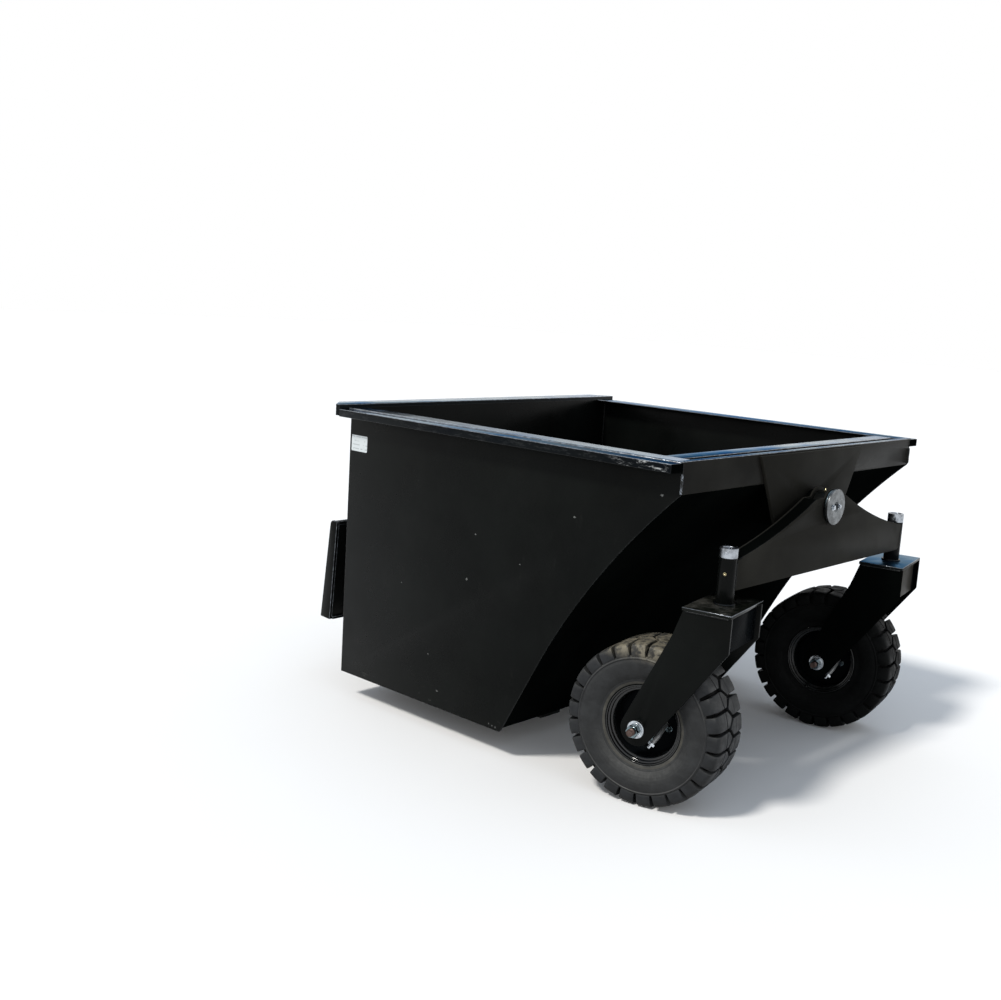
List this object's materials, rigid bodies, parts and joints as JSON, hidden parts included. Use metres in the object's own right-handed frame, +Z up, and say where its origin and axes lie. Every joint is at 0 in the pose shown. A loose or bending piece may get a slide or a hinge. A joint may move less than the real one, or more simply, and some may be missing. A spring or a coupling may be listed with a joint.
{
  "type": "front hopper cart",
  "caption": "Open steel hopper with a curved belly, carried at the back by a loader's quick coupler and at the front by two swivel casters on a rocking beam.",
  "frame": {"origin": "on the ground under the middle of the whole cart: half way across, and half way between the casters' front edges and the coupler's rear edge", "axes": "+Z up, +Y towards the loader (coupler end), -Y towards the caster end, X across the cart"},
  "size_m": [1.67, 2.039, 1.143],
  "materials": {
    "black_paint": "gloss black paint",
    "zinc": "bright zinc plate",
    "bearing_steel": "ground steel",
    "bronze": "plain bearing bronze",
    "brass": "plain brass",
    "tyre": "matt black rubber",
    "label": "blank white sticker"
  },
  "bodies": {
    "hopper": {"side_plate_left": "black_paint", "side_plate_right": "black_paint", "back_plate": "black_paint", "floor_plate": "black_paint", "belly_plate": "black_paint", "front_fascia": "black_paint", "side_rims": "black_paint", "back_rim": "black_paint", "front_rim": "black_paint", "skid_runners": "black_paint", "pivot_bracket": "black_paint", "pivot_boss": "black_paint", "bracket_gussets": "black_paint", "pivot_pin": "zinc", "pivot_cap": "zinc", "cap_bolts": "zinc", "coupler_plate": "black_paint", "coupler_hook": "black_paint", "coupler_ledge": "black_paint", "coupler_flanges": "black_paint", "coupler_webs": "black_paint", "label": "label"},
    "beam": {"beam_front_plate": "black_paint", "beam_rear_plate": "black_paint", "beam_top_plates": "black_paint", "beam_bottom_plate": "black_paint", "pivot_sleeve": "black_paint", "pivot_bushes": "bronze", "kingpin_tube_left": "black_paint", "kingpin_tube_right": "black_paint", "kingpin_bushes": "bronze", "grease_fittings": "brass"},
    "caster_left": {"kingpin_left": "zinc", "collar_left": "zinc", "thrust_washer_left": "zinc", "fork_head_left": "black_paint", "fork_legs_left": "black_paint", "fork_front_left": "black_paint", "axle_left": "zinc"},
    "wheel_left": {"tyre_left": "tyre", "rim_outer_left": "black_paint", "rim_inner_left": "black_paint", "hub_left": "black_paint", "bearings_left": "bearing_steel", "rim_bolts_left": "zinc", "valve_left": "zinc"},
    "caster_right": {"kingpin_right": "zinc", "collar_right": "zinc", "thrust_washer_right": "zinc", "fork_head_right": "black_paint", "fork_legs_right": "black_paint", "fork_front_right": "black_paint", "axle_right": "zinc"},
    "wheel_right": {"tyre_right": "tyre", "rim_outer_right": "black_paint", "rim_inner_right": "black_paint", "hub_right": "black_paint", "bearings_right": "bearing_steel", "rim_bolts_right": "zinc", "valve_right": "zinc"}
  },
  "joints": [
    {"name": "beam_rock", "type": "hinge", "parent": "hopper", "child": "beam", "pos_m": [0, -0.917, 0.945], "axis": [0, 1, 0], "range_deg": [-10, 10]},
    {"name": "caster_swivel_left", "type": "hinge", "parent": "beam", "child": "caster_left", "pos_m": [-0.581, -0.917, 0.76], "axis": [0, 0, 1], "continuous": true},
    {"name": "wheel_spin_left", "type": "hinge", "parent": "caster_left", "child": "wheel_left", "pos_m": [-0.61779, -0.72041, 0.2665], "axis": [0.9829, 0.184, 0], "continuous": true},
    {"name": "caster_swivel_right", "type": "hinge", "parent": "beam", "child": "caster_right", "pos_m": [0.581, -0.917, 0.76], "axis": [0, 0, 1], "continuous": true},
    {"name": "wheel_spin_right", "type": "hinge", "parent": "caster_right", "child": "wheel_right", "pos_m": [0.54421, -0.72041, 0.2665], "axis": [0.9829, 0.184, 0], "continuous": true}
  ]
}
